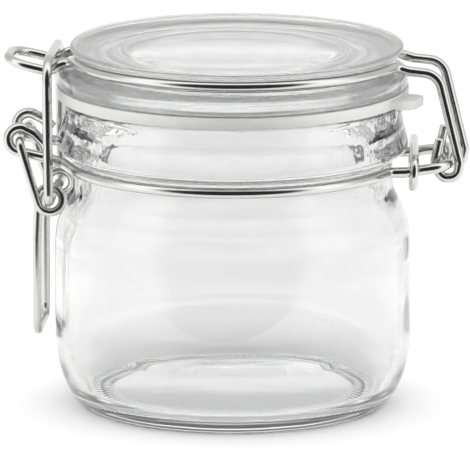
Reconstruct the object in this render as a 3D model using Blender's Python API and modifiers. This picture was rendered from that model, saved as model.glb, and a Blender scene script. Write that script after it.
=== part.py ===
"""An empty clear glass preserving jar with a glass lid, a rubber ring and a steel wire closure."""

import math

import bmesh
import bpy
from mathutils import Vector

MM = 0.001
STEPS = 60

# The jar's own axis stands a little off the origin, so that the origin is under the middle of
# the whole object, closure included. All the sizes below are millimetres from the jar's axis.
JAR_X = -0.828

# Jar body
BODY_R = 50.5
BODY_LOW_Z = 20.2
FOOT_R = 42.9
FOOT_POWER_R = 1.41
FOOT_POWER_Z = 1.04
BEARING_IN_R = 38.5
PUSH_UP = 2.6
RIM_Z = 88.0
RIM_OUT_R = 47.9
MOUTH_R = 42.3
BEAD_R = 49.7
GROOVE_R = 45.4
WALL = 3.2
FLOOR_Z = 5.2

# Glass lid
LID_TOP_Z = 103.4
DISH_Z = 102.6
DISH_R = 32.0
DISC_R = 47.2
DISC_LOW_Z = 101.6
DISC_SHIFT = 1.1
LID_GROOVE_R = 44.8
FLANGE_R = 49.5
SEAT_Z = 92.0
PLUG_R = 38.4
PLUG_LOW_Z = 86.0
CEILING_Z = 97.6

# Rubber ring
RING_OUT_R = 49.8
RING_IN_R = 42.6
RING_LOW_Z = 88.35
RING_TOP_Z = 91.65
TAB_TURN = -15.0
TAB_END_R = 56.0
TAB_WIDTH = 12.0
TAB_LOW_Z = 88.7
TAB_TOP_Z = 91.2

# Wires
NECK_WIRE_R = 1.5
LID_WIRE_R = 1.4
HOOP_WIRE_R = 1.4
LEVER_WIRE_R = 1.25
LINK_WIRE_R = 1.25
NECK_RING_R = 47.4
NECK_RING_Z = 69.8
HINGE_X = 61.85
HINGE_Z = 71.9
LOOP_Y = 14.7
EYE_X = -59.3
EYE_Y = 10.8
EYE_Z = 76.6
EYE_R = 3.5
LID_RING_R = 46.5
LID_RING_Z = 99.9
NOSE_TIP_X = -63.4
NOSE_Y = -9.5
ARM_Y = 10.0
ARM_X = 65.1
COIL_X = -50.7
COIL_Z = 59.9
COIL_R = 3.55
PIVOT_LEG_Y = 14.2
HANDLE_LEG_Y = 11.4
HANDLE_X = -54.7
HANDLE_LOW_Z = 21.0
HOOP_Y = 17.2
HOOP_TOP_X = -51.1
HOOP_TOP_Z = 100.0
LINK_X = 51.3
LINK_Z = 69.9
LINK_HALF_Y = 17.95
LINK_HALF_Z = 4.1

GLASS = (0.86, 0.88, 0.88, 0.35)
LID_GLASS = (0.82, 0.84, 0.84, 0.35)
RUBBER = (0.86, 0.87, 0.86, 1.0)
STEEL = (0.62, 0.62, 0.62, 1.0)


def clear_scene():
    for obj in list(bpy.data.objects):
        bpy.data.objects.remove(obj)


def new_collection(name):
    collection = bpy.data.collections.new(name)
    bpy.context.scene.collection.children.link(collection)
    return collection


def new_material(name, colour, roughness, metallic):
    material = bpy.data.materials.new(name)
    material.use_nodes = True
    shader = material.node_tree.nodes["Principled BSDF"]
    shader.inputs["Base Color"].default_value = colour
    shader.inputs["Roughness"].default_value = roughness
    shader.inputs["Metallic"].default_value = metallic
    shader.inputs["Alpha"].default_value = colour[3]
    return material


def shade_smooth(mesh, angle=35.0):
    for polygon in mesh.polygons:
        polygon.use_smooth = True
    mesh.set_sharp_from_angle(angle=math.radians(angle))


def mesh_of(obj):
    """The object's evaluated shape as a plain mesh with its doubled points merged."""
    bpy.context.view_layer.update()
    graph = bpy.context.evaluated_depsgraph_get()
    mesh = bpy.data.meshes.new_from_object(obj.evaluated_get(graph))
    work = bmesh.new()
    work.from_mesh(mesh)
    bmesh.ops.remove_doubles(work, verts=work.verts, dist=0.00001)
    bmesh.ops.recalc_face_normals(work, faces=work.faces)
    work.to_mesh(mesh)
    work.free()
    return mesh


def lathe(name, profile, collection, shift=0.0):
    """A solid of revolution from a profile of radius and height, listed down its outer side."""
    mesh = bpy.data.meshes.new(name)
    points = [(r * MM, 0.0, z * MM) for r, z in profile]
    edges = [(i, i + 1) for i in range(len(points) - 1)]
    if profile[0][0] > 0.0:
        edges.append((len(points) - 1, 0))
    mesh.from_pydata(points, edges, [])
    obj = bpy.data.objects.new(name, mesh)
    obj.location.x = (JAR_X + shift) * MM
    collection.objects.link(obj)
    turn = obj.modifiers.new("turn", "SCREW")
    turn.axis = "Z"
    turn.angle = math.radians(360.0)
    turn.steps = STEPS
    turn.render_steps = STEPS
    turn.use_merge_vertices = True
    turn.merge_threshold = 0.00001
    turn.use_smooth_shade = True
    return obj


def wire(name, path, radius, collection, cyclic=False):
    """A round wire that follows a list of points."""
    curve = bpy.data.curves.new(name, "CURVE")
    curve.dimensions = "3D"
    curve.bevel_depth = radius * MM
    curve.bevel_resolution = 2
    curve.use_fill_caps = not cyclic
    spline = curve.splines.new("POLY")
    spline.points.add(len(path) - 1)
    spline.use_cyclic_u = cyclic
    for point, (x, y, z) in zip(spline.points, path):
        point.co = ((x + JAR_X) * MM, y * MM, z * MM, 1.0)
    obj = bpy.data.objects.new(name, curve)
    collection.objects.link(obj)
    return obj


def rounded(corners, per_step=18.0):
    """The path through corners of x, y, z and bend radius, each corner turned into an arc."""
    path = []
    last = len(corners) - 1
    for index, (x, y, z, radius) in enumerate(corners):
        here = Vector((x, y, z))
        if radius == 0.0 or index in (0, last):
            path.append(tuple(here))
            continue
        before = (Vector(corners[index - 1][:3]) - here).normalized()
        after = (Vector(corners[index + 1][:3]) - here).normalized()
        half = before.angle(after) / 2.0
        middle = (before + after).normalized()
        centre = here + middle * (radius / math.sin(half))
        start = here + before * (radius / math.tan(half)) - centre
        end = here + after * (radius / math.tan(half)) - centre
        turn = start.angle(end)
        steps = max(2, math.ceil(math.degrees(turn) / per_step))
        for step in range(steps + 1):
            share = step / steps
            a = math.sin((1.0 - share) * turn) / math.sin(turn)
            b = math.sin(share * turn) / math.sin(turn)
            path.append(tuple(centre + start * a + end * b))
    return path


def both_sides(near):
    """The near half of a wire followed by its mirror image in the plane Y = 0."""
    far = [(x, -y, z) for x, y, z in reversed(near)]
    return near + far


def arc(centre_x, radius, start, stop, height, step=6.0):
    """Points on a level ring from one heading to another, with height a function of heading."""
    count = max(1, round(abs(stop - start) / step))
    points = []
    for index in range(count + 1):
        heading = start + (stop - start) * index / count
        turn = math.radians(heading)
        x = centre_x + radius * math.cos(turn)
        points.append((x, radius * math.sin(turn), height(heading)))
    return points


def foot_profile(steps=6):
    """The rounded foot of the jar's outer side, from the straight wall down to the table."""
    points = []
    for index in range(steps, -1, -1):
        turn = math.radians(90.0) * index / steps
        r = FOOT_R + (BODY_R - FOOT_R) * math.sin(turn) ** FOOT_POWER_R
        z = BODY_LOW_Z * (1.0 - math.cos(turn) ** FOOT_POWER_Z)
        points.append((r, z))
    return points


def make_jar_body(collection):
    inner = BODY_R - WALL
    profile = [
        (0.0, FLOOR_Z),
        (34.0, FLOOR_Z + 0.2),
        (40.5, FLOOR_Z + 1.6),
        (44.8, FLOOR_Z + 6.0),
        (inner, FLOOR_Z + 17.0),
        (inner, 44.5),
        (45.8, 53.5),
        (42.6, 61.0),
        (MOUTH_R, 66.0),
        (MOUTH_R, 86.4),
        (MOUTH_R + 1.7, RIM_Z),
        (46.9, RIM_Z),
        (RIM_OUT_R, RIM_Z - 1.2),
        (48.0, 81.6),
        (49.1, 78.3),
        (BEAD_R, 75.3),
        (49.4, 73.6),
        (48.0, 72.8),
        (46.4, 72.2),
        (GROOVE_R, 71.0),
        (GROOVE_R, 62.3),
        (46.2, 60.4),
        (47.05, 58.8),
        (48.1, 56.4),
        (49.3, 53.8),
        (50.2, 50.6),
        (BODY_R, 45.5),
    ]
    profile += foot_profile()
    profile += [
        (BEARING_IN_R, 0.0),
        (37.2, 0.9),
        (34.0, 1.7),
        (0.0, PUSH_UP),
    ]
    body = lathe("jar_body", profile, collection)
    body.data.materials.append(new_material("jar_glass", GLASS, 0.03, 0.0))
    return body


def make_lid(collection, cutters):
    flange = [
        (0.0, 99.4),
        (42.3, 99.4),
        (43.7, 98.2),
        (45.3, 97.15),
        (48.3, 96.5),
        (FLANGE_R, 95.7),
        (FLANGE_R, SEAT_Z),
        (39.2, SEAT_Z),
        (PLUG_R, SEAT_Z - 0.8),
        (PLUG_R, PLUG_LOW_Z + 0.7),
        (PLUG_R - 0.7, PLUG_LOW_Z),
        (35.2, PLUG_LOW_Z),
        (34.2, 93.0),
        (32.4, 96.0),
        (29.0, CEILING_Z - 0.2),
        (0.0, CEILING_Z + 0.2),
    ]
    disc = [
        (0.0, DISH_Z),
        (DISH_R, DISH_Z),
        (DISH_R + 1.2, LID_TOP_Z),
        (DISC_R - 0.8, LID_TOP_Z),
        (DISC_R, LID_TOP_Z - 0.7),
        (DISC_R, DISC_LOW_Z + 0.6),
        (DISC_R - 0.6, DISC_LOW_Z),
        (LID_GROOVE_R, DISC_LOW_Z),
        (LID_GROOVE_R, 96.2),
        (40.2, 96.2),
        (39.2, 98.6),
        (0.0, 98.6),
    ]
    upper = lathe("lid_disc_shape", disc, cutters, DISC_SHIFT)
    lower = lathe("lid_flange_shape", flange, cutters)
    lid = bpy.data.objects.new("lid_glass", mesh_of(lower))
    lid.matrix_world = lower.matrix_world.copy()
    collection.objects.link(lid)
    other = bpy.data.objects.new("lid_disc_mesh", mesh_of(upper))
    other.matrix_world = upper.matrix_world.copy()
    cutters.objects.link(other)
    join = lid.modifiers.new("join", "BOOLEAN")
    join.operation = "UNION"
    join.solver = "EXACT"
    join.object = other
    lid.data.materials.append(new_material("lid_clear_glass", LID_GLASS, 0.03, 0.0))
    shade_smooth(lid.data)
    return lid


def make_gasket(collection, cutters):
    soft = 0.5
    profile = [
        (RING_IN_R + soft, RING_TOP_Z),
        (RING_OUT_R - soft, RING_TOP_Z),
        (RING_OUT_R, RING_TOP_Z - soft),
        (RING_OUT_R, RING_LOW_Z + soft),
        (RING_OUT_R - soft, RING_LOW_Z),
        (RING_IN_R + soft, RING_LOW_Z),
        (RING_IN_R, RING_LOW_Z + soft),
        (RING_IN_R, RING_TOP_Z - soft),
    ]
    ring = lathe("gasket_ring_shape", profile, cutters)
    gasket = bpy.data.objects.new("gasket", mesh_of(ring))
    gasket.matrix_world = ring.matrix_world.copy()
    collection.objects.link(gasket)
    tab = make_tab(cutters)
    join = gasket.modifiers.new("join", "BOOLEAN")
    join.operation = "UNION"
    join.solver = "EXACT"
    join.object = tab
    gasket.data.materials.append(new_material("clear_rubber", RUBBER, 0.45, 0.0))
    shade_smooth(gasket.data)
    return gasket


def make_tab(cutters):
    """The pull tab, a flat tongue with a round end that starts inside the ring."""
    root_r = (RING_IN_R + RING_OUT_R) / 2.0
    length = TAB_END_R - root_r
    mesh = bpy.data.meshes.new("tab_shape")
    work = bmesh.new()
    bmesh.ops.create_cube(work, size=1.0)
    size = Vector((length * MM, TAB_WIDTH * MM, (TAB_TOP_Z - TAB_LOW_Z) * MM))
    bmesh.ops.scale(work, vec=size, verts=work.verts)
    upright = []
    for edge in work.edges:
        a, b = edge.verts
        if abs(a.co.x - b.co.x) + abs(a.co.y - b.co.y) < 1e-6 and a.co.x > 0.0:
            upright.append(edge)
    bmesh.ops.bevel(
        work, geom=upright, offset=3.5 * MM, segments=5, affect="EDGES", profile=0.5
    )
    work.to_mesh(mesh)
    work.free()
    tab = bpy.data.objects.new("tab_shape", mesh)
    turn = math.radians(TAB_TURN)
    middle_r = (root_r + TAB_END_R) / 2.0
    tab.rotation_euler.z = turn
    tab.location.x = (JAR_X + middle_r * math.cos(turn)) * MM
    tab.location.y = middle_r * math.sin(turn) * MM
    tab.location.z = (TAB_LOW_Z + TAB_TOP_Z) / 2.0 * MM
    cutters.objects.link(tab)
    return tab


def make_neck_wire(collection):
    """One wire round the neck: an eye at each end, and a loop at the hinge."""
    tail = [(-52.6, -11.4, 75.9), (-55.4, -11.1, 78.5)]
    eye = []
    for heading in range(75, 266, 19):
        turn = math.radians(heading)
        x = EYE_X + EYE_R * math.cos(turn)
        eye.append((x, -EYE_Y, EYE_Z + EYE_R * math.sin(turn)))
    left = rounded(
        [
            (-58.4, -EYE_Y, 73.05, 0.0),
            (-52.3, -12.2, 71.9, 6.0),
            (-46.2, -14.1, 70.5, 3.0),
            (-44.4, -17.4, NECK_RING_Z, 0.0),
        ]
    )
    ring = arc(0.0, NECK_RING_R, 203.0, 337.5, lambda heading: NECK_RING_Z, 6.8)
    right = rounded(
        [
            (43.95, -17.8, NECK_RING_Z, 0.0),
            (45.3, -LOOP_Y, NECK_RING_Z, 3.2),
            (50.0, -LOOP_Y, 70.0, 8.0),
            (HINGE_X, -LOOP_Y, HINGE_Z, 5.0),
            (HINGE_X, 0.0, HINGE_Z, 0.0),
        ]
    )
    near = tail + eye + left[1:-1] + ring + right[1:-1]
    return wire("neck_wire", both_sides(near), NECK_WIRE_R, collection)


def make_link_ring(collection):
    """The flat oval ring that holds the two sides of the hinge loop together."""
    lean = 0.05
    twist = -0.08
    flat = LINK_HALF_Y - LINK_HALF_Z
    path = []
    for side in (1.0, -1.0):
        for index in range(9):
            turn = math.radians(90.0 - 180.0 * index / 8.0)
            y = side * (flat + LINK_HALF_Z * math.cos(turn))
            z = side * LINK_HALF_Z * math.sin(turn)
            path.append((LINK_X + lean * z + twist * y, y, LINK_Z + z))
    return wire("link_ring", path, LINK_WIRE_R, collection, cyclic=True)


def lid_ring_height(heading):
    """The lid wire sinks a little towards the hinge and the latch."""
    side = abs(math.cos(math.radians(heading)))
    return LID_RING_Z - 0.5 * max(0.0, (side - 0.5) / 0.4)


def make_lid_wire(collection):
    """One wire: two hinge hooks, two arms, the ring in the lid's groove and the nose."""
    arm = rounded(
        [
            (59.5, -ARM_Y, 78.7, 0.0),
            (57.9, -ARM_Y, 71.4, 3.2),
            (60.4, -ARM_Y, 67.6, 2.2),
            (64.4, -ARM_Y, 68.0, 2.4),
            (ARM_X, -ARM_Y, 71.9, 3.0),
            (58.9, -ARM_Y, 97.3, 5.2),
            (50.6, -9.9, 98.1, 6.0),
            (46.7, -9.8, 99.2, 3.0),
            (45.57, -13.6, 99.33, 0.0),
        ]
    )
    ring = arc(DISC_SHIFT, LID_RING_R, -17.0, -163.0, lid_ring_height)
    nose = rounded(
        [
            (-43.37, -13.6, 99.33, 0.0),
            (-44.6, NOSE_Y, 99.0, 3.0),
            (-47.8, NOSE_Y, 98.3, 3.0),
            (-51.2, NOSE_Y, 96.1, 4.5),
            (NOSE_TIP_X, NOSE_Y, 98.9, 6.5),
            (NOSE_TIP_X, 0.0, 99.2, 0.0),
        ]
    )
    near = arm[:-1] + ring + nose[1:-1]
    return wire("lid_wire", both_sides(near), LID_WIRE_R, collection)


def make_hoop(collection):
    """The latch hoop, hung in the lever's coils and closed over the nose."""
    near = rounded(
        [
            (COIL_X, -9.7, COIL_Z, 0.0),
            (COIL_X, -HOOP_Y, COIL_Z, 2.4),
            (-50.9, -HOOP_Y, 77.6, 0.0),
            (HOOP_TOP_X, -HOOP_Y, HOOP_TOP_Z, 6.5),
            (HOOP_TOP_X, 0.0, HOOP_TOP_Z, 0.0),
        ]
    )
    return wire("hoop", both_sides(near[:-1]), HOOP_WIRE_R, collection)


def make_lever(collection):
    """The lever: stubs in the eyes, pivot legs, one coil each side, and the handle."""
    toward = Vector((COIL_X - EYE_X, COIL_Z - EYE_Z))
    aim = math.atan2(toward.y, toward.x) - math.asin(COIL_R / toward.length)
    first = aim - math.pi / 2.0
    start_x = COIL_X + COIL_R * math.cos(first)
    start_z = COIL_Z + COIL_R * math.sin(first)
    leg = rounded(
        [
            (EYE_X, -8.9, EYE_Z, 0.0),
            (EYE_X, -PIVOT_LEG_Y, EYE_Z, 2.2),
            (start_x, -PIVOT_LEG_Y, start_z, 0.0),
        ]
    )
    coil = []
    last = math.radians(180.0)
    sweep = last - first
    count = 16
    for index in range(count + 1):
        turn = first + sweep * index / count
        inward = (PIVOT_LEG_Y - HANDLE_LEG_Y) * index / count
        x = COIL_X + COIL_R * math.cos(turn)
        coil.append((x, inward - PIVOT_LEG_Y, COIL_Z + COIL_R * math.sin(turn)))
    handle = rounded(
        [
            (COIL_X - COIL_R, -HANDLE_LEG_Y, COIL_Z - 2.0, 0.0),
            (HANDLE_X, -HANDLE_LEG_Y, 48.0, 0.0),
            (HANDLE_X, -HANDLE_LEG_Y, HANDLE_LOW_Z, 4.0),
            (HANDLE_X, 0.0, HANDLE_LOW_Z, 0.0),
        ]
    )
    near = leg[:-1] + coil + handle[:-1]
    return wire("lever", both_sides(near), LEVER_WIRE_R, collection)


def main():
    clear_scene()
    jar = new_collection("preserving_jar")
    shapes = new_collection("shapes")
    shapes.hide_render = True
    make_jar_body(jar)
    make_lid(jar, shapes)
    make_gasket(jar, shapes)
    steel = new_material("bright_steel", STEEL, 0.18, 1.0)
    for make in (make_neck_wire, make_link_ring, make_lid_wire, make_hoop, make_lever):
        make(jar).data.materials.append(steel)
    for helper in shapes.objects:
        helper.hide_render = True
        helper.display_type = "WIRE"


main()
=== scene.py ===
"""The looks of an empty clear glass preserving jar with a steel wire closure, on a white table."""

import math

import bpy
import numpy as np
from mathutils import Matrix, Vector

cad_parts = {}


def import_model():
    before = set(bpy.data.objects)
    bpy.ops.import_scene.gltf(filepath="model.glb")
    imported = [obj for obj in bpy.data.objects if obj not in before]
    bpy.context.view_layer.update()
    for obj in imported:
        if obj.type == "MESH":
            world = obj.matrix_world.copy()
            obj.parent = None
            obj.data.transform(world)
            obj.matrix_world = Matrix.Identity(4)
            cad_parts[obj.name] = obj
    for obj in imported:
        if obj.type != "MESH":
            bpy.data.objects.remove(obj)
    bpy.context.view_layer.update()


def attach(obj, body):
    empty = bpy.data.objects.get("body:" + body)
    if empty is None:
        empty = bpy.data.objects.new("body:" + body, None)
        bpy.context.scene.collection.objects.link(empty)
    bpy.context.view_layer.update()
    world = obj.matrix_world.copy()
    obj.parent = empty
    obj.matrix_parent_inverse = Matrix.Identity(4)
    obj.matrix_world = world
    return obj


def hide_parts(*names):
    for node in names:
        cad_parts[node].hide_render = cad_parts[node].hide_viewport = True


# Lengths are in millimetres and angles in degrees, unless a comment says otherwise
MM = 0.001
JAR_X = -0.828

# The photograph's camera: far away, a little above and a little to the hinge side
CAMERA_RISE = 12.0
CAMERA_TURN = 5.2
CAMERA_DISTANCE = 2750.0
CAMERA_LENS = 742.2
CAMERA_SENSOR = 36.0
CAMERA_REACH = 20000.0
AIM_Z = 50.0
SHIFT_X = 0.0045
SHIFT_Y = -0.0153

# Fineness of the meshes: points round a lathed ring, curve steps of a wire's half
# circle, and the angles above which an edge of steel or of rubber stays sharp
HEADINGS = 240
FOOT_HEADINGS = 480
WIRE_SIDES = 5
WIRE_SHARP = 50.0
RUBBER_SHARP = 40.0

# Ring of grooves under the foot
MARK_IN_R = 36.0
MARK_OUT_R = 40.6
MARK_COUNT = 120
MARK_DEPTH = 0.22
MARK_TOP_Z = 2.5

# Uneven inner wall: where it is, how far it leans outwards, and its waves as height,
# count round the wall, turn in radians and rise in millimetres for each radian
WAVER_LOW_Z = 12.0
WAVER_HIGH_Z = 62.0
WAVER_WALL = 2.0
WAVER_LEAN = 0.05
WAVER_WAVES = (
    (0.16, 2, 0.8, 40.0),
    (0.10, 3, 0.0, -23.0),
    (0.05, 7, 0.0, 11.0),
    (0.03, 13, 0.0, -17.0),
)

# The scales of all noise are per metre, and the depths of all bumps are in metres

# Glass: slow waves all over, a dull film on the lid, and ripples on the pressed neck
GLASS_IOR = 1.52
BODY_TINT = (0.975, 0.976, 0.975, 1.0)
LID_TINT = (0.998, 0.999, 0.998, 1.0)
GLASS_WAVES = 55.0
GLASS_WAVINESS = 0.03
GLASS_WAVE_DEPTH = 0.002
FILM_GRAIN = 90.0
LID_FILM = (0.07, 0.18)
RIPPLE_LOW_Z = 56.0
RIPPLE_HIGH_Z = 64.0
RIPPLE_GRAIN = 220.0
RIPPLE_STRENGTH = 0.5
RIPPLE_DEPTH = 0.0003

# Steel and rubber. The rubber's colour is darker and paler by turns round the ring, as painted
# shade and painted highlight in place of the clear ring's own light and shade
GRAIN_DEPTH = 0.0002
STEEL_TINT = (0.64, 0.64, 0.635, 1.0)
STEEL_ROUGHNESS = (0.12, 0.2)
STEEL_GRAIN = 900.0
STEEL_FINE_GRAIN = 1600.0
STEEL_BUMP = 0.05
RUBBER_SHADED = (0.50, 0.50, 0.495, 1.0)
RUBBER_LIT = (0.86, 0.86, 0.855, 1.0)
RUBBER_IOR = 1.42
RUBBER_ROUGHNESS = 0.4
RUBBER_CLEARNESS = 0.35
RUBBER_SHADE_PATCHES = 24.0
RUBBER_GRAIN = 700.0
RUBBER_BUMP = 0.15
GASKET_SHADE_WAVES = 3.0
GASKET_SHADE_SHARE = 0.4

# Light: the world is a room that a ray meets by its direction alone. How far a ray faces
# the camera is a cosine, 1 towards the camera and -1 straight away from it.
# What steel mirrors: a dark window round the camera, bright boxes round the window, and
# a paler spot straight behind the jar
WINDOW_EDGE = 0.50
WINDOW_CORE = 0.78
BOX_FAR = -0.1
BOX_NEAR = 0.3
BACKLIGHT_EDGE = -0.7
BACKLIGHT_CORE = -0.92
ROOM_MIRROR = 0.72
BOX_GAIN = 0.75
BACKLIGHT = 0.2
MIRROR_DARK = 0.03

# What shows through glass: a paler window, and a dim zone behind the jar that starts
# between two rises of the ray
GLASS_DARK = 0.6
BACK_EDGE = 0.0
BACK_CORE = -0.3
BACK_LOW = 0.22
BACK_HIGH = 0.32
BACK_DARK = 0.1

# What lights the table: an even light where nothing is in the way, and light from the
# camera's side where glass is, stronger where it passed many surfaces
TABLE_LIGHT = 1.35
SHADE_EDGE = 0.15
SHADE_CORE = 0.45
SHADE_DARK = 0.0
SHADE_BRIGHT = 2.55
SHADE_DEEP = 0.3
DEEP_BRIGHT = 6.3

# Limits between whole counts of surfaces, and the white that the camera sees directly
ANY_SURFACE = 0.5
MANY_SURFACES = 5.5
BACKDROP = 1.1

# Table, in metres but for its level: a hair under the foot, so that no two faces coincide
TABLE_NEAR = -0.17
TABLE_FAR = 4.0
TABLE_SIDE = 2.0
TABLE_Z = -0.03
# Painted shade: between these distances behind the jar the table's white darkens to the grey below,
# which dims the table seen through the glass
SHADE_SWEEP_NEAR = 0.09
SHADE_SWEEP_FAR = 0.24
TABLE_GRAIN = 12.0
TABLE_ROUGHNESS = 0.9
TABLE_DULL = (0.955, 0.955, 0.955, 1.0)
TABLE_WHITE = (0.965, 0.965, 0.965, 1.0)
TABLE_BACK_SHADE = (0.78, 0.78, 0.78, 1.0)

# How often a ray may bend or bounce
GLASS_BOUNCES = 32
GLOSSY_BOUNCES = 12
DIFFUSE_BOUNCES = 4

# Jar body, as in the part
BODY_R = 50.5
BODY_LOW_Z = 20.2
FOOT_R = 42.9
FOOT_POWER_R = 1.41
FOOT_POWER_Z = 1.04
BEARING_IN_R = 38.5
PUSH_UP = 2.6
RIM_Z = 88.0
RIM_OUT_R = 47.9
MOUTH_R = 42.3
BEAD_R = 49.7
GROOVE_R = 45.4
WALL = 3.2
FLOOR_Z = 5.2

# Glass lid
LID_TOP_Z = 103.4
DISH_Z = 103.2
DISH_R = 32.0
DISC_R = 47.2
DISC_LOW_Z = 101.6
DISC_SHIFT = 1.1
LID_GROOVE_R = 44.8
FLANGE_R = 49.5
SEAT_Z = 92.0
PLUG_R = 38.4
PLUG_LOW_Z = 86.0
CEILING_Z = 97.6

# Rubber ring and its tab
RING_OUT_R = 49.8
RING_IN_R = 42.6
RING_LOW_Z = 88.35
RING_TOP_Z = 91.65
RING_SOFT = 0.5
TAB_TURN = -15.0
TAB_END_R = 56.0
TAB_WIDTH = 12.0
TAB_LOW_Z = 88.7
TAB_TOP_Z = 91.2
TAB_ROUND = 3.5
TAB_SOFT = 0.4

# Wires
NECK_WIRE_R = 1.5
LID_WIRE_R = 1.4
HOOP_WIRE_R = 1.4
LEVER_WIRE_R = 1.25
LINK_WIRE_R = 1.25
NECK_RING_R = 47.4
NECK_RING_Z = 69.8
HINGE_X = 61.85
HINGE_Z = 71.9
LOOP_Y = 14.7
EYE_X = -59.3
EYE_Y = 10.8
EYE_Z = 76.6
EYE_R = 3.5
LID_RING_R = 46.5
LID_RING_Z = 99.9
NOSE_TIP_X = -63.4
NOSE_Y = -9.5
ARM_Y = 10.0
ARM_X = 65.1
COIL_X = -50.7
COIL_Z = 59.9
COIL_R = 3.55
PIVOT_LEG_Y = 14.2
HANDLE_LEG_Y = 11.4
HANDLE_X = -54.7
HANDLE_LOW_Z = 21.0
HOOP_Y = 17.2
HOOP_TOP_X = -51.1
HOOP_TOP_Z = 100.0
LINK_X = 51.3
LINK_Z = 69.9
LINK_HALF_Y = 17.95
LINK_HALF_Z = 4.1
LINK_LEAN = 0.05
LINK_TWIST = -0.08


def put(name, data):
    """A new object with this data, in the scene."""
    obj = bpy.data.objects.new(name, data)
    bpy.context.scene.collection.objects.link(obj)
    return obj


def shade_smooth(mesh):
    for polygon in mesh.polygons:
        polygon.use_smooth = True


def bend(start, corner, end, steps):
    """The points of the curve that takes a corner round from its start to its end."""
    points = []
    for step in range(steps + 1):
        t = step / steps
        point = start * (1 - t) ** 2 + corner * 2 * t * (1 - t) + end * t * t
        points.append((point.x, point.y))
    return points


def filleted(profile, per_step=6.0):
    """The profile of radius, height and corner size with every corner turned into an arc."""
    path = []
    last = len(profile) - 1
    for index, (r, z, size) in enumerate(profile):
        here = Vector((r, z))
        if index in (0, last) or size == 0.0:
            path.append((r, z))
            continue
        before = Vector(profile[index - 1][:2]) - here
        after = Vector(profile[index + 1][:2]) - here
        reach = min(size, before.length * 0.499, after.length * 0.499)
        start = here + before.normalized() * reach
        end = here + after.normalized() * reach
        turn = 180.0 - math.degrees(before.angle(after))
        path += bend(start, here, end, max(2, math.ceil(turn / per_step)))
    return path


def lathe_faces(radii, starts, closed, headings):
    """The faces between each ring of points and the next. A ring on the axis is one point."""
    last = len(radii) - 1
    pairs = [(i, i + 1) for i in range(last)]
    if closed:
        pairs.append((last, 0))
    faces = []
    for a, b in pairs:
        first, second = starts[a], starts[b]
        for i in range(headings):
            j = (i + 1) % headings
            if radii[a] == 0.0:
                faces.append((first, second + i, second + j))
            elif radii[b] == 0.0:
                faces.append((first + i, second, first + j))
            else:
                faces.append((first + i, second + i, second + j, first + j))
    return faces


def lathe(name, profile, shifts=None, closed=False, headings=HEADINGS, waver=None, marks=None):
    """A smooth solid of revolution. A waver changes the radius and marks the height of a point."""
    rings = np.array(profile, float)
    shifts = np.zeros(len(rings)) if shifts is None else np.array(shifts, float)
    turn = np.linspace(0.0, 2.0 * math.pi, headings, endpoint=False)
    verts = []
    starts = []
    for (r, z), shift in zip(rings, shifts):
        starts.append(len(verts))
        if r == 0.0:
            verts.append((shift + JAR_X, 0.0, z))
            continue
        radii = np.full(headings, r)
        heights = np.full(headings, z)
        if waver is not None:
            radii = radii + waver(turn, r, z)
        if marks is not None:
            heights = heights + marks(turn, r, z)
        x = radii * np.cos(turn) + shift + JAR_X
        y = radii * np.sin(turn)
        verts.extend(zip(x, y, heights))
    mesh = bpy.data.meshes.new(name)
    points = np.array(verts, float) * MM
    mesh.from_pydata(points.tolist(), [], lathe_faces(rings[:, 0], starts, closed, headings))
    mesh.validate()
    shade_smooth(mesh)
    return put(name, mesh)


def foot_profile(steps=22):
    """The outside of the foot, from the wall down to the ring that it stands on."""
    points = []
    for index in range(steps, -1, -1):
        turn = math.radians(90.0) * index / steps
        r = FOOT_R + (BODY_R - FOOT_R) * math.sin(turn) ** FOOT_POWER_R
        z = BODY_LOW_Z * (1.0 - math.cos(turn) ** FOOT_POWER_Z)
        points.append((r, z, 0.0))
    return points


def glass_waver(turn, r, z):
    """The uneven inner wall of blown glass; the outer wall, shaped by the mould, stays true."""
    inner = r < BODY_R - WAVER_WALL and WAVER_LOW_Z < z < WAVER_HIGH_Z
    if not inner:
        return np.zeros_like(turn)
    fade = math.sin(math.pi * (z - WAVER_LOW_Z) / (WAVER_HIGH_Z - WAVER_LOW_Z))
    wave = 0.0
    for height, count, start, rise in WAVER_WAVES:
        wave = wave + height * np.sin(count * turn + start + z / rise)
    return wave * fade - WAVER_LEAN * fade


def foot_marks(turn, r, z):
    """Short radial grooves moulded in a ring under the foot."""
    if z > MARK_TOP_Z or not MARK_IN_R < r < MARK_OUT_R:
        return np.zeros_like(turn)
    return MARK_DEPTH * (0.5 + 0.5 * np.sin(MARK_COUNT * turn))


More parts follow.
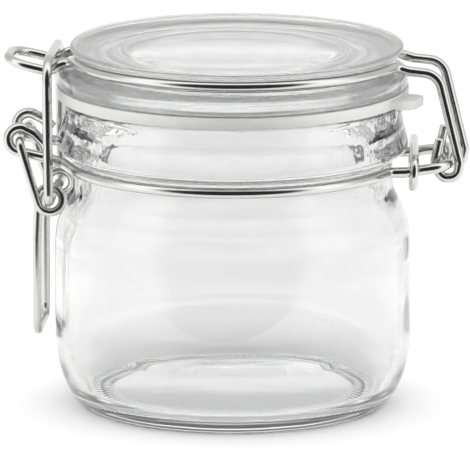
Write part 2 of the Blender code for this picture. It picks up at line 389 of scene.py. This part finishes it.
def body_profile():
    """The jar's profile, from the middle of its floor over the rim to that of its underside."""
    inner = BODY_R - WALL
    inside = [
        (0.0, FLOOR_Z, 0.0),
        (31.0, FLOOR_Z - 0.6, 12.0),
        (42.6, FLOOR_Z - 1.2, 6.0),
        (46.6, FLOOR_Z + 7.5, 8.0),
        (inner, FLOOR_Z + 18.0, 9.0),
        (inner, 44.5, 9.0),
        (45.8, 53.5, 9.0),
        (42.6, 61.0, 9.0),
        (MOUTH_R, 66.0, 9.0),
        (MOUTH_R, 86.4, 0.8),
        (MOUTH_R + 1.7, RIM_Z, 1.0),
        (46.9, RIM_Z, 1.0),
        (RIM_OUT_R, RIM_Z - 1.2, 1.0),
        (48.0, 81.6, 9.0),
        (49.1, 78.3, 9.0),
        (BEAD_R, 75.3, 9.0),
        (49.4, 73.6, 9.0),
        (48.0, 72.8, 9.0),
        (46.4, 72.2, 0.5),
        (GROOVE_R, 71.0, 0.8),
        (GROOVE_R, 62.3, 9.0),
        (46.2, 60.4, 9.0),
        (47.05, 58.8, 9.0),
        (48.1, 56.4, 9.0),
        (49.3, 53.8, 9.0),
        (50.2, 50.6, 9.0),
        (BODY_R, 45.5, 9.0),
    ]
    under = [
        (MARK_OUT_R + 0.3, 0.0, 0.0),
        (MARK_OUT_R - 0.3, 0.0, 0.0),
        (BEARING_IN_R, 0.0, 0.5),
        (37.2, 0.9, 0.8),
        (MARK_IN_R + 0.3, 1.2, 0.0),
        (MARK_IN_R - 0.3, 1.28, 0.0),
        (34.0, 1.7, 4.0),
        (0.0, PUSH_UP, 0.0),
    ]
    return filleted(inside + foot_profile() + under)


def lid_profile():
    """The lid's profile with each point's shift towards the hinge."""
    upper = [
        (0.0, DISH_Z, 0.0),
        (DISH_R, DISH_Z, 1.5),
        (DISH_R + 3.0, LID_TOP_Z, 1.5),
        (DISC_R, LID_TOP_Z, 1.0),
        (DISC_R, DISC_LOW_Z, 0.7),
        (LID_GROOVE_R, DISC_LOW_Z, 0.5),
        (LID_GROOVE_R, 97.6, 0.3),
    ]
    lower = [
        (46.3, 96.95, 0.8),
        (48.3, 96.5, 0.9),
        (FLANGE_R, 95.7, 0.8),
        (FLANGE_R, SEAT_Z, 0.5),
        (39.2, SEAT_Z, 0.5),
        (PLUG_R, SEAT_Z - 0.8, 0.5),
        (PLUG_R, PLUG_LOW_Z, 0.8),
        (35.2, PLUG_LOW_Z, 0.8),
        (34.4, 92.0, 4.0),
        (32.0, 96.0, 4.0),
        (26.0, CEILING_Z - 0.1, 9.0),
        (0.0, CEILING_Z + 0.2, 0.0),
    ]
    high = filleted(upper + [lower[0]])[:-1]
    low = filleted([upper[-1]] + lower)[1:]
    shifts = [DISC_SHIFT] * len(high) + [0.0] * len(low)
    return high + low, shifts


def wire(name, path, radius, cyclic=False):
    """A round wire along the path, closed into a ring where it is cyclic."""
    curve = bpy.data.curves.new(name + "_path", "CURVE")
    curve.dimensions = "3D"
    curve.bevel_depth = radius * MM
    curve.bevel_resolution = WIRE_SIDES
    curve.use_fill_caps = not cyclic
    spline = curve.splines.new("POLY")
    spline.points.add(len(path) - 1)
    spline.use_cyclic_u = cyclic
    for point, (x, y, z) in zip(spline.points, path):
        point.co = ((x + JAR_X) * MM, y * MM, z * MM, 1.0)
    obj = solid_copy(name, put(name + "_path", curve))
    shade_smooth(obj.data)
    obj.data.set_sharp_from_angle(angle=math.radians(WIRE_SHARP))
    return obj


def solid_copy(name, shape):
    """A plain mesh object of a shape as it is evaluated, in place of the shape."""
    bpy.context.view_layer.update()
    graph = bpy.context.evaluated_depsgraph_get()
    mesh = bpy.data.meshes.new_from_object(shape.evaluated_get(graph))
    mesh.transform(shape.matrix_world)
    mesh.name = name
    obj = put(name, mesh)
    bpy.data.objects.remove(shape)
    return obj


def rounded(corners, per_step=9.0):
    """The path through corners of x, y, z and bend radius, each corner turned into an arc."""
    path = []
    last = len(corners) - 1
    for index, (x, y, z, radius) in enumerate(corners):
        here = Vector((x, y, z))
        if radius == 0.0 or index in (0, last):
            path.append(tuple(here))
            continue
        before = (Vector(corners[index - 1][:3]) - here).normalized()
        after = (Vector(corners[index + 1][:3]) - here).normalized()
        half = before.angle(after) / 2.0
        middle = (before + after).normalized()
        centre = here + middle * (radius / math.sin(half))
        start = here + before * (radius / math.tan(half)) - centre
        end = here + after * (radius / math.tan(half)) - centre
        turn = start.angle(end)
        steps = max(2, math.ceil(math.degrees(turn) / per_step))
        for step in range(steps + 1):
            share = step / steps
            a = math.sin((1.0 - share) * turn) / math.sin(turn)
            b = math.sin(share * turn) / math.sin(turn)
            path.append(tuple(centre + start * a + end * b))
    return path


def both_sides(near):
    """The near half of a wire followed by its mirror image in the plane Y = 0."""
    far = [(x, -y, z) for x, y, z in reversed(near)]
    return near + far


def arc(centre_x, radius, start, stop, height, step=2.0):
    """Points round the jar from one heading to another, at the height of each heading."""
    count = max(1, round(abs(stop - start) / step))
    points = []
    for index in range(count + 1):
        heading = start + (stop - start) * index / count
        turn = math.radians(heading)
        x = centre_x + radius * math.cos(turn)
        points.append((x, radius * math.sin(turn), height(heading)))
    return points


def make_neck_wire():
    tail = [(-52.6, -11.4, 75.9), (-55.4, -11.1, 78.5)]
    eye = []
    for heading in range(75, 266, 10):
        turn = math.radians(heading)
        x = EYE_X + EYE_R * math.cos(turn)
        eye.append((x, -EYE_Y, EYE_Z + EYE_R * math.sin(turn)))
    left = rounded(
        [
            (-58.4, -EYE_Y, 73.05, 0.0),
            (-52.3, -12.2, 71.9, 6.0),
            (-46.2, -14.1, 70.5, 3.0),
            (-44.4, -17.4, NECK_RING_Z, 0.0),
        ]
    )
    ring = arc(0.0, NECK_RING_R, 203.0, 337.5, lambda heading: NECK_RING_Z)
    right = rounded(
        [
            (43.95, -17.8, NECK_RING_Z, 0.0),
            (45.3, -LOOP_Y, NECK_RING_Z, 3.2),
            (50.0, -LOOP_Y, 70.0, 8.0),
            (HINGE_X, -LOOP_Y, HINGE_Z, 5.0),
            (HINGE_X, 0.0, HINGE_Z, 0.0),
        ]
    )
    near = tail + eye + left[1:-1] + ring + right[1:-1]
    return wire("neck_wire_smooth", both_sides(near), NECK_WIRE_R)


def make_link_ring():
    flat = LINK_HALF_Y - LINK_HALF_Z
    steps = 18
    path = []
    for side in (1.0, -1.0):
        for index in range(steps + 1):
            turn = math.radians(90.0 - 180.0 * index / steps)
            y = side * (flat + LINK_HALF_Z * math.cos(turn))
            z = side * LINK_HALF_Z * math.sin(turn)
            path.append((LINK_X + LINK_LEAN * z + LINK_TWIST * y, y, LINK_Z + z))
    return wire("link_ring_smooth", path, LINK_WIRE_R, cyclic=True)


def lid_ring_height(heading):
    """The lid's ring dips a little towards the hinge and the latch."""
    side = abs(math.cos(math.radians(heading)))
    return LID_RING_Z - 0.5 * max(0.0, (side - 0.5) / 0.4)


def make_lid_wire():
    arm = rounded(
        [
            (59.5, -ARM_Y, 78.7, 0.0),
            (57.9, -ARM_Y, 71.4, 3.2),
            (60.4, -ARM_Y, 67.6, 2.2),
            (64.4, -ARM_Y, 68.0, 2.4),
            (ARM_X, -ARM_Y, 71.9, 3.0),
            (58.9, -ARM_Y, 97.3, 5.2),
            (50.6, -9.9, 98.1, 6.0),
            (46.7, -9.8, 99.2, 3.0),
            (45.57, -13.6, 99.33, 0.0),
        ]
    )
    ring = arc(DISC_SHIFT, LID_RING_R, -17.0, -163.0, lid_ring_height)
    nose = rounded(
        [
            (-43.37, -13.6, 99.33, 0.0),
            (-44.6, NOSE_Y, 99.0, 3.0),
            (-47.8, NOSE_Y, 98.3, 3.0),
            (-51.2, NOSE_Y, 96.1, 4.5),
            (NOSE_TIP_X, NOSE_Y, 98.9, 6.5),
            (NOSE_TIP_X, 0.0, 99.2, 0.0),
        ]
    )
    near = arm[:-1] + ring + nose[1:-1]
    return wire("lid_wire_smooth", both_sides(near), LID_WIRE_R)


def make_hoop():
    near = rounded(
        [
            (COIL_X, -9.7, COIL_Z, 0.0),
            (COIL_X, -HOOP_Y, COIL_Z, 2.4),
            (-50.9, -HOOP_Y, 77.6, 0.0),
            (HOOP_TOP_X, -HOOP_Y, HOOP_TOP_Z, 6.5),
            (HOOP_TOP_X, 0.0, HOOP_TOP_Z, 0.0),
        ]
    )
    return wire("hoop_smooth", both_sides(near[:-1]), HOOP_WIRE_R)


def make_lever():
    """Each pivot leg runs straight from its eye to touch its coil, which leads to the handle."""
    toward = Vector((COIL_X - EYE_X, COIL_Z - EYE_Z))
    aim = math.atan2(toward.y, toward.x) - math.asin(COIL_R / toward.length)
    first = aim - math.pi / 2.0
    start_x = COIL_X + COIL_R * math.cos(first)
    start_z = COIL_Z + COIL_R * math.sin(first)
    leg = rounded(
        [
            (EYE_X, -8.9, EYE_Z, 0.0),
            (EYE_X, -PIVOT_LEG_Y, EYE_Z, 2.2),
            (start_x, -PIVOT_LEG_Y, start_z, 0.0),
        ]
    )
    coil = []
    sweep = math.pi - first
    count = 40
    for index in range(count + 1):
        turn = first + sweep * index / count
        inward = (PIVOT_LEG_Y - HANDLE_LEG_Y) * index / count
        x = COIL_X + COIL_R * math.cos(turn)
        coil.append((x, inward - PIVOT_LEG_Y, COIL_Z + COIL_R * math.sin(turn)))
    handle = rounded(
        [
            (COIL_X - COIL_R, -HANDLE_LEG_Y, COIL_Z - 2.0, 0.0),
            (HANDLE_X, -HANDLE_LEG_Y, 48.0, 0.0),
            (HANDLE_X, -HANDLE_LEG_Y, HANDLE_LOW_Z, 4.0),
            (HANDLE_X, 0.0, HANDLE_LOW_Z, 0.0),
        ]
    )
    near = leg[:-1] + coil + handle[:-1]
    return wire("lever_smooth", both_sides(near), LEVER_WIRE_R)


def gasket_ring():
    """The rubber ring with softened corners."""
    corners = [
        Vector((RING_OUT_R, RING_TOP_Z)),
        Vector((RING_OUT_R, RING_LOW_Z)),
        Vector((RING_IN_R, RING_LOW_Z)),
        Vector((RING_IN_R, RING_TOP_Z)),
    ]
    profile = []
    for index, here in enumerate(corners):
        before = corners[index - 1] - here
        after = corners[(index + 1) % len(corners)] - here
        start = here + before.normalized() * RING_SOFT
        end = here + after.normalized() * RING_SOFT
        profile += bend(start, here, end, 4)
    return lathe("gasket_ring", profile, closed=True)


def gasket_tab():
    """The pull tab: a flat block that starts inside the ring, with a rounded outer end."""
    root_r = (RING_IN_R + RING_OUT_R) / 2.0
    length = TAB_END_R - root_r
    turn = math.radians(TAB_TURN)
    middle_r = (root_r + TAB_END_R) / 2.0
    bpy.ops.mesh.primitive_cube_add(size=1.0)
    tab = bpy.context.object
    tab.name = "tab"
    tab.scale = (length * MM, TAB_WIDTH * MM, (TAB_TOP_Z - TAB_LOW_Z) * MM)
    bpy.ops.object.transform_apply(location=False, rotation=False, scale=True)
    weights = tab.data.attributes.new("bevel_weight_edge", "FLOAT", "EDGE")
    for edge in tab.data.edges:
        a, b = (tab.data.vertices[i].co for i in edge.vertices)
        upright = abs(a.x - b.x) + abs(a.y - b.y) < 1e-6
        weights.data[edge.index].value = 1.0 if upright and a.x > 0 else 0.0
    ends = tab.modifiers.new("round_end", "BEVEL")
    ends.limit_method = "WEIGHT"
    ends.width = TAB_ROUND * MM
    ends.segments = 12
    rims = tab.modifiers.new("soft_rim", "BEVEL")
    rims.limit_method = "ANGLE"
    rims.angle_limit = math.radians(60.0)
    rims.width = TAB_SOFT * MM
    rims.segments = 3
    tab.rotation_euler.z = turn
    tab.location.x = (JAR_X + middle_r * math.cos(turn)) * MM
    tab.location.y = middle_r * math.sin(turn) * MM
    tab.location.z = (TAB_LOW_Z + TAB_TOP_Z) / 2.0 * MM
    return tab


def make_gasket():
    ring = gasket_ring()
    tab = gasket_tab()
    join = ring.modifiers.new("join", "BOOLEAN")
    join.operation = "UNION"
    join.solver = "EXACT"
    join.object = tab
    gasket = solid_copy("gasket_soft", ring)
    bpy.data.objects.remove(tab)
    shade_smooth(gasket.data)
    gasket.data.set_sharp_from_angle(angle=math.radians(RUBBER_SHARP))
    return gasket


def new_material(name):
    """A new material with its node tree, its shader and the place of a point on the object."""
    material = bpy.data.materials.new(name)
    material.use_nodes = True
    tree = material.node_tree
    place = tree.nodes.new("ShaderNodeTexCoord").outputs["Object"]
    return material, tree, tree.nodes["Principled BSDF"], place


def link(tree, source, target):
    tree.links.new(source, target)


def maths(tree, operation, a, b=None):
    """The result of one operation on sockets or numbers."""
    node = tree.nodes.new("ShaderNodeMath")
    node.operation = operation
    for socket, value in zip(node.inputs, (a, b)):
        if value is None:
            continue
        if isinstance(value, (int, float)):
            socket.default_value = value
        else:
            link(tree, value, socket)
    return node.outputs[0]


def blend(tree, share, a, b):
    """a where the share is 0 and b where it is 1."""
    rest = maths(tree, "SUBTRACT", 1.0, share)
    first = maths(tree, "MULTIPLY", rest, a)
    return maths(tree, "ADD", first, maths(tree, "MULTIPLY", share, b))


def mix_colours(tree, share, a, b):
    """Colour a where the share is 0 and colour b where it is 1."""
    node = tree.nodes.new("ShaderNodeMix")
    node.data_type = "RGBA"
    link(tree, share, node.inputs["Factor"])
    for socket, colour in ((node.inputs[6], a), (node.inputs[7], b)):
        if isinstance(colour, tuple):
            socket.default_value = colour
        else:
            link(tree, colour, socket)
    return node.outputs[2]


def ramp(tree, value, low, high):
    """A smooth step from 0 at low to 1 at high."""
    node = tree.nodes.new("ShaderNodeMapRange")
    node.interpolation_type = "SMOOTHSTEP"
    node.inputs["From Min"].default_value = low
    node.inputs["From Max"].default_value = high
    link(tree, value, node.inputs["Value"])
    return node.outputs["Result"]


def spread(tree, value, low, high):
    """The value from 0 to 1 spread evenly from low to high."""
    node = tree.nodes.new("ShaderNodeMapRange")
    node.inputs["To Min"].default_value = low
    node.inputs["To Max"].default_value = high
    link(tree, value, node.inputs["Value"])
    return node.outputs["Result"]


def axes(tree, vector):
    """The X, Y and Z of a vector."""
    split = tree.nodes.new("ShaderNodeSeparateXYZ")
    link(tree, vector, split.inputs[0])
    return split.outputs


def noise(tree, scale, detail, place):
    node = tree.nodes.new("ShaderNodeTexNoise")
    node.inputs["Scale"].default_value = scale
    node.inputs["Detail"].default_value = detail
    link(tree, place, node.inputs["Vector"])
    return node.outputs["Fac"]


def bump(tree, height, strength, depth, normal=None):
    """The surface's direction with this relief on it, over that of another bump if one is given."""
    node = tree.nodes.new("ShaderNodeBump")
    node.inputs["Strength"].default_value = strength
    node.inputs["Distance"].default_value = depth
    link(tree, height, node.inputs["Height"])
    if normal is not None:
        link(tree, normal, node.inputs["Normal"])
    return node.outputs["Normal"]


def neck_ripples(tree, place):
    """The small unevenness of the pressed neck, which the smooth body below doesn't have."""
    neck = ramp(tree, axes(tree, place)[2], RIPPLE_LOW_Z * MM, RIPPLE_HIGH_Z * MM)
    return maths(tree, "MULTIPLY", neck, noise(tree, RIPPLE_GRAIN, 2.0, place))


def glass_material(name, tint, film=None, rippled_neck=False):
    """Clear glass. A film is a range of roughness; without one the glass is polished."""
    material, tree, shader, place = new_material(name)
    shader.inputs["Base Color"].default_value = tint
    if film is None:
        shader.inputs["Roughness"].default_value = 0.0
    else:
        dullness = spread(tree, noise(tree, FILM_GRAIN, 2.0, place), *film)
        link(tree, dullness, shader.inputs["Roughness"])
    shader.inputs["IOR"].default_value = GLASS_IOR
    shader.inputs["Transmission Weight"].default_value = 1.0
    waves = noise(tree, GLASS_WAVES, 1.0, place)
    normal = bump(tree, waves, GLASS_WAVINESS, GLASS_WAVE_DEPTH)
    if rippled_neck:
        ripples = neck_ripples(tree, place)
        normal = bump(tree, ripples, RIPPLE_STRENGTH, RIPPLE_DEPTH, normal)
    link(tree, normal, shader.inputs["Normal"])
    return material


def steel_material():
    material, tree, shader, place = new_material("bright_drawn_steel")
    shader.inputs["Base Color"].default_value = STEEL_TINT
    shader.inputs["Metallic"].default_value = 1.0
    grain = noise(tree, STEEL_GRAIN, 3.0, place)
    link(tree, spread(tree, grain, *STEEL_ROUGHNESS), shader.inputs["Roughness"])
    fine = noise(tree, STEEL_FINE_GRAIN, 2.0, place)
    link(tree, bump(tree, fine, STEEL_BUMP, GRAIN_DEPTH), shader.inputs["Normal"])
    return material


def rubber_material():
    material, tree, shader, place = new_material("translucent_rubber")
    x, y = axes(tree, place)[:2]
    # Painted shade and highlight: the colour swings between dark and pale by waves round the ring
    # and by noise, standing in for the light and shade of clear rubber
    heading = maths(tree, "ARCTAN2", y, x)
    wave = maths(tree, "SINE", maths(tree, "MULTIPLY", heading, GASKET_SHADE_WAVES))
    shade_swing = maths(tree, "MULTIPLY", wave, GASKET_SHADE_SHARE)
    painted_shading = maths(tree, "SUBTRACT", noise(tree, RUBBER_SHADE_PATCHES, 0.0, place), shade_swing)
    colour = mix_colours(tree, painted_shading, RUBBER_SHADED, RUBBER_LIT)
    link(tree, colour, shader.inputs["Base Color"])
    shader.inputs["Roughness"].default_value = RUBBER_ROUGHNESS
    shader.inputs["IOR"].default_value = RUBBER_IOR
    shader.inputs["Transmission Weight"].default_value = RUBBER_CLEARNESS
    grain = noise(tree, RUBBER_GRAIN, 3.0, place)
    link(tree, bump(tree, grain, RUBBER_BUMP, GRAIN_DEPTH), shader.inputs["Normal"])
    return material


def floor_material():
    """White paint, slightly uneven, with painted shade: a little darker far behind the jar, which
    dims what shows through the glass.
    """
    material, tree, shader, place = new_material("white_table")
    paint = mix_colours(tree, noise(tree, TABLE_GRAIN, 3.0, place), TABLE_DULL, TABLE_WHITE)
    # Painted shade: the paint darkens far behind the jar
    far = ramp(tree, axes(tree, place)[1], SHADE_SWEEP_NEAR, SHADE_SWEEP_FAR)
    link(tree, mix_colours(tree, far, paint, TABLE_BACK_SHADE), shader.inputs["Base Color"])
    shader.inputs["Roughness"].default_value = TABLE_ROUGHNESS
    shader.inputs["Specular IOR Level"].default_value = 0.0
    return material


def make_floor():
    mesh = bpy.data.meshes.new("table")
    near, far, side, level = TABLE_NEAR, TABLE_FAR, TABLE_SIDE, TABLE_Z * MM
    corners = [(-side, near, level), (side, near, level), (side, far, level), (-side, far, level)]
    mesh.from_pydata(corners, [], [(0, 1, 2, 3)])
    table = put("table", mesh)
    table.data.materials.append(floor_material())


def camera_direction():
    """The direction from the jar to the photograph's camera."""
    rise = math.radians(CAMERA_RISE)
    turn = math.radians(CAMERA_TURN)
    level = math.cos(rise)
    return Vector((level * math.sin(turn), -level * math.cos(turn), math.sin(rise)))


def facing_camera(tree, where):
    """The cosine of the angle between a ray's direction and the camera's."""
    dot = tree.nodes.new("ShaderNodeVectorMath")
    dot.operation = "DOT_PRODUCT"
    dot.inputs[1].default_value = tuple(camera_direction())
    link(tree, where, dot.inputs[0])
    return dot.outputs["Value"]


def mirrored_room(tree, facing, window):
    """The room as steel mirrors it: boxes and a paler far end, dark at the window."""
    boxes = ramp(tree, facing, BOX_FAR, BOX_NEAR)
    room = maths(tree, "ADD", ROOM_MIRROR, maths(tree, "MULTIPLY", boxes, BOX_GAIN))
    far_end = ramp(tree, facing, BACKLIGHT_EDGE, BACKLIGHT_CORE)
    room = maths(tree, "ADD", room, maths(tree, "MULTIPLY", far_end, BACKLIGHT))
    open_part = maths(tree, "SUBTRACT", 1.0, window)
    return maths(tree, "ADD", maths(tree, "MULTIPLY", room, open_part), MIRROR_DARK)


def room_through_glass(tree, where, facing, window):
    """The room as it shows through glass: a paler window and a dim zone high behind the jar."""
    room = maths(tree, "SUBTRACT", 1.0, maths(tree, "MULTIPLY", window, 1.0 - GLASS_DARK))
    high = ramp(tree, axes(tree, where)[2], BACK_LOW, BACK_HIGH)
    behind = maths(tree, "MULTIPLY", high, ramp(tree, facing, BACK_EDGE, BACK_CORE))
    return maths(tree, "MULTIPLY", room, blend(tree, behind, 1.0, BACK_DARK))


def table_light(tree, facing, through, deep):
    """The light on the table, straight or through glass."""
    lit = ramp(tree, facing, SHADE_EDGE, SHADE_CORE)
    dim = blend(tree, deep, SHADE_DARK, SHADE_DEEP)
    bright = blend(tree, deep, SHADE_BRIGHT, DEEP_BRIGHT)
    return blend(tree, through, TABLE_LIGHT, blend(tree, lit, dim, bright))


def make_light():
    """A white room with a dark window round the camera and bright soft boxes round that window."""
    world = bpy.data.worlds.new("studio")
    bpy.context.scene.world = world
    world.use_nodes = True
    tree = world.node_tree
    where = tree.nodes.new("ShaderNodeTexCoord").outputs["Generated"]
    path = tree.nodes.new("ShaderNodeLightPath").outputs
    through = maths(tree, "GREATER_THAN", path["Transmission Depth"], ANY_SURFACE)
    deep = maths(tree, "GREATER_THAN", path["Transmission Depth"], MANY_SURFACES)
    diffuse = maths(tree, "GREATER_THAN", path["Diffuse Depth"], ANY_SURFACE)
    facing = facing_camera(tree, where)
    window = ramp(tree, facing, WINDOW_EDGE, WINDOW_CORE)
    mirrored = mirrored_room(tree, facing, window)
    seen = blend(tree, through, mirrored, room_through_glass(tree, where, facing, window))
    light = blend(tree, diffuse, seen, table_light(tree, facing, through, deep))
    strength = blend(tree, path["Is Camera Ray"], light, BACKDROP)
    background = tree.nodes["Background"]
    link(tree, strength, background.inputs["Strength"])
    background.inputs["Color"].default_value = (1.0, 1.0, 1.0, 1.0)
    world.cycles.sampling_method = "NONE"


def make_camera():
    camera = bpy.data.cameras.new("camera")
    camera.lens = CAMERA_LENS
    camera.sensor_width = CAMERA_SENSOR
    camera.shift_x = SHIFT_X
    camera.shift_y = SHIFT_Y
    camera.clip_end = CAMERA_REACH * MM
    obj = put("camera", camera)
    away = camera_direction()
    aim = Vector((JAR_X, 0.0, AIM_Z)) * MM
    obj.location = aim + away * CAMERA_DISTANCE * MM
    obj.rotation_euler = (-away).to_track_quat("-Z", "Y").to_euler()
    bpy.context.scene.camera = obj


def render_settings():
    scene = bpy.context.scene
    scene.view_settings.view_transform = "Standard"
    scene.cycles.max_bounces = GLASS_BOUNCES
    scene.cycles.transmission_bounces = GLASS_BOUNCES
    scene.cycles.glossy_bounces = GLOSSY_BOUNCES
    scene.cycles.diffuse_bounces = DIFFUSE_BOUNCES
    scene.cycles.transparent_max_bounces = GLASS_BOUNCES


def dress(obj, material, body, node):
    """Gives a piece its material and its place in the part."""
    obj.data.materials.clear()
    obj.data.materials.append(material)
    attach(obj, body)
    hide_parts(node)


def main():
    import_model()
    steel = steel_material()
    body_glass = glass_material("clear_jar_glass", BODY_TINT, rippled_neck=True)
    lid_glass = glass_material("clear_lid_glass", LID_TINT, film=LID_FILM)
    body = lathe(
        "jar_body_smooth",
        body_profile(),
        headings=FOOT_HEADINGS,
        waver=glass_waver,
        marks=foot_marks,
    )
    dress(body, body_glass, "jar", "jar_body")
    profile, shifts = lid_profile()
    lid = lathe("lid_glass_smooth", profile, shifts=shifts)
    dress(lid, lid_glass, "lid", "lid_glass")
    dress(make_gasket(), rubber_material(), "lid", "gasket")
    dress(make_neck_wire(), steel, "jar", "neck_wire")
    dress(make_link_ring(), steel, "jar", "link_ring")
    dress(make_lid_wire(), steel, "lid", "lid_wire")
    dress(make_hoop(), steel, "hoop", "hoop")
    dress(make_lever(), steel, "lever", "lever")
    make_floor()
    make_light()
    make_camera()
    render_settings()


main()
